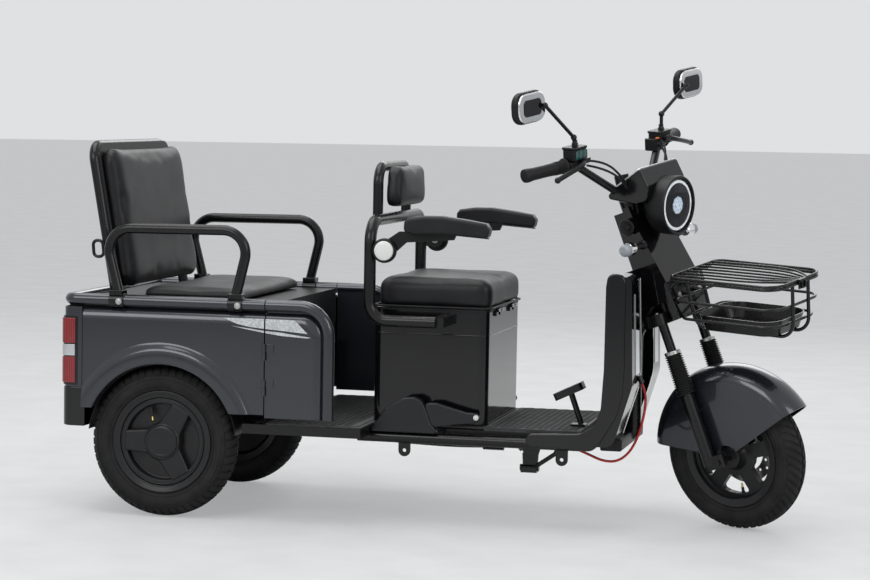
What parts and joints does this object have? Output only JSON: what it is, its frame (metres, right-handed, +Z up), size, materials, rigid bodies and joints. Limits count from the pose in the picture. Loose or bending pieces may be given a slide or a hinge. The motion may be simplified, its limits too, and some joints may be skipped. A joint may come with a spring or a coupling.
{
  "type": "electric tricycle",
  "caption": "Electric passenger and cargo tricycle with a steered front wheel, two rear wheels, a rider's seat over a battery box, a rear bench with hoops and doors, and a lidded front basket.",
  "frame": {"origin": "middle of the overall box on the ground", "axes": "+X forward, +Y to the rider's left, +Z up"},
  "size_m": [2.024, 0.8175, 1.2515],
  "materials": {
    "body_paint": "gloss metallic graphite",
    "box_gloss": "high gloss black",
    "frame_black": "satin black paint",
    "rubber_black": "matt moulded rubber",
    "tyre_black": "matt tyre rubber",
    "wheel_black": "satin black",
    "plastic_black": "fine textured black",
    "seat_vinyl": "black grained vinyl",
    "lamp_red": "clear red lens",
    "lens_clear": "clear lens over a bright ring",
    "chrome_trim": "polished chrome",
    "battery_grey": "plain casing",
    "cable_red": "red sheathed cable"
  },
  "bodies": {
    "chassis": {"frame": "frame_black", "floor_plates": "rubber_black", "leg_shield": "box_gloss", "shield_plates": "chrome_trim", "brake_pedal": "rubber_black", "brake_cable": "cable_red", "seat_box": "box_gloss", "battery": "battery_grey", "seat_frame": "frame_black", "seat_back_pad": "seat_vinyl", "side_mouldings": "body_paint", "body_tub": "frame_black", "side_panel_right": "body_paint", "side_panel_left": "body_paint", "tail_panel": "body_paint", "tail_lamps": "lamp_red", "rear_cushion": "seat_vinyl", "rear_back_frame": "frame_black", "rear_back_pad": "seat_vinyl", "grab_hoops": "frame_black", "rear_axle": "frame_black", "rear_suspension": "frame_black"},
    "door_right": {"door_right": "body_paint"},
    "door_left": {"door_left": "body_paint"},
    "seat_lid": {"seat_base": "plastic_black", "seat_cushion": "seat_vinyl"},
    "armrest_right": {"armrest_right": "plastic_black", "armrest_pad_right": "seat_vinyl"},
    "armrest_left": {"armrest_left": "plastic_black", "armrest_pad_left": "seat_vinyl"},
    "wheel_rear_right": {"tyre_rear_right": "tyre_black", "wheel_rear_right": "wheel_black"},
    "wheel_rear_left": {"tyre_rear_left": "tyre_black", "wheel_rear_left": "wheel_black"},
    "steering": {"fork": "frame_black", "fork_gaiters": "rubber_black", "front_fender": "body_paint", "front_cover": "body_paint", "headlight": "plastic_black", "headlight_lens": "lens_clear", "turn_signals": "plastic_black", "handlebar": "frame_black", "grips": "rubber_black", "controls": "plastic_black", "display": "plastic_black", "mirrors": "plastic_black", "basket": "frame_black", "basket_tray": "frame_black"},
    "basket_lid": {"basket_lid": "frame_black"},
    "wheel_front": {"tyre_front": "tyre_black", "wheel_front": "wheel_black"}
  },
  "joints": [
    {"name": "steering_turn", "type": "hinge", "parent": "chassis", "child": "steering", "pos_m": [0.73343, 0.02633, 0.20719], "axis": [-0.3469, 0, 0.9379], "range_deg": [-13.7, 66.3]},
    {"name": "front_wheel_spin", "type": "hinge", "parent": "steering", "child": "wheel_front", "pos_m": [0.8003, -0.00424, 0.20472], "axis": [0.4156, 0.8965, 0.1537], "continuous": true},
    {"name": "rear_wheel_spin_right", "type": "hinge", "parent": "chassis", "child": "wheel_rear_right", "pos_m": [-0.723, -0.29767, 0.205], "axis": [0, 1, 0], "continuous": true},
    {"name": "rear_wheel_spin_left", "type": "hinge", "parent": "chassis", "child": "wheel_rear_left", "pos_m": [-0.723, 0.35033, 0.205], "axis": [0, 1, 0], "continuous": true},
    {"name": "door_swing_right", "type": "hinge", "parent": "chassis", "child": "door_right", "pos_m": [-0.431, -0.34967, 0.4], "axis": [0, 0, -1], "range_deg": [0, 90]},
    {"name": "door_swing_left", "type": "hinge", "parent": "chassis", "child": "door_left", "pos_m": [-0.431, 0.40233, 0.4], "axis": [0, 0, 1], "range_deg": [0, 90]},
    {"name": "seat_lid_lift", "type": "hinge", "parent": "chassis", "child": "seat_lid", "pos_m": [0.153, 0.02633, 0.5766], "axis": [0, 1, 0], "range_deg": [0, 75]},
    {"name": "armrest_lift_right", "type": "hinge", "parent": "chassis", "child": "armrest_right", "pos_m": [-0.121, -0.27367, 0.741], "axis": [0, -1, 0], "range_deg": [0, 60]},
    {"name": "armrest_lift_left", "type": "hinge", "parent": "chassis", "child": "armrest_left", "pos_m": [-0.121, 0.32633, 0.741], "axis": [0, -1, 0], "range_deg": [0, 60]},
    {"name": "basket_lid_lift", "type": "hinge", "parent": "steering", "child": "basket_lid", "pos_m": [0.67005, -0.02821, 0.69658], "axis": [-0.4156, -0.8965, -0.1537], "range_deg": [0, 90]}
  ]
}
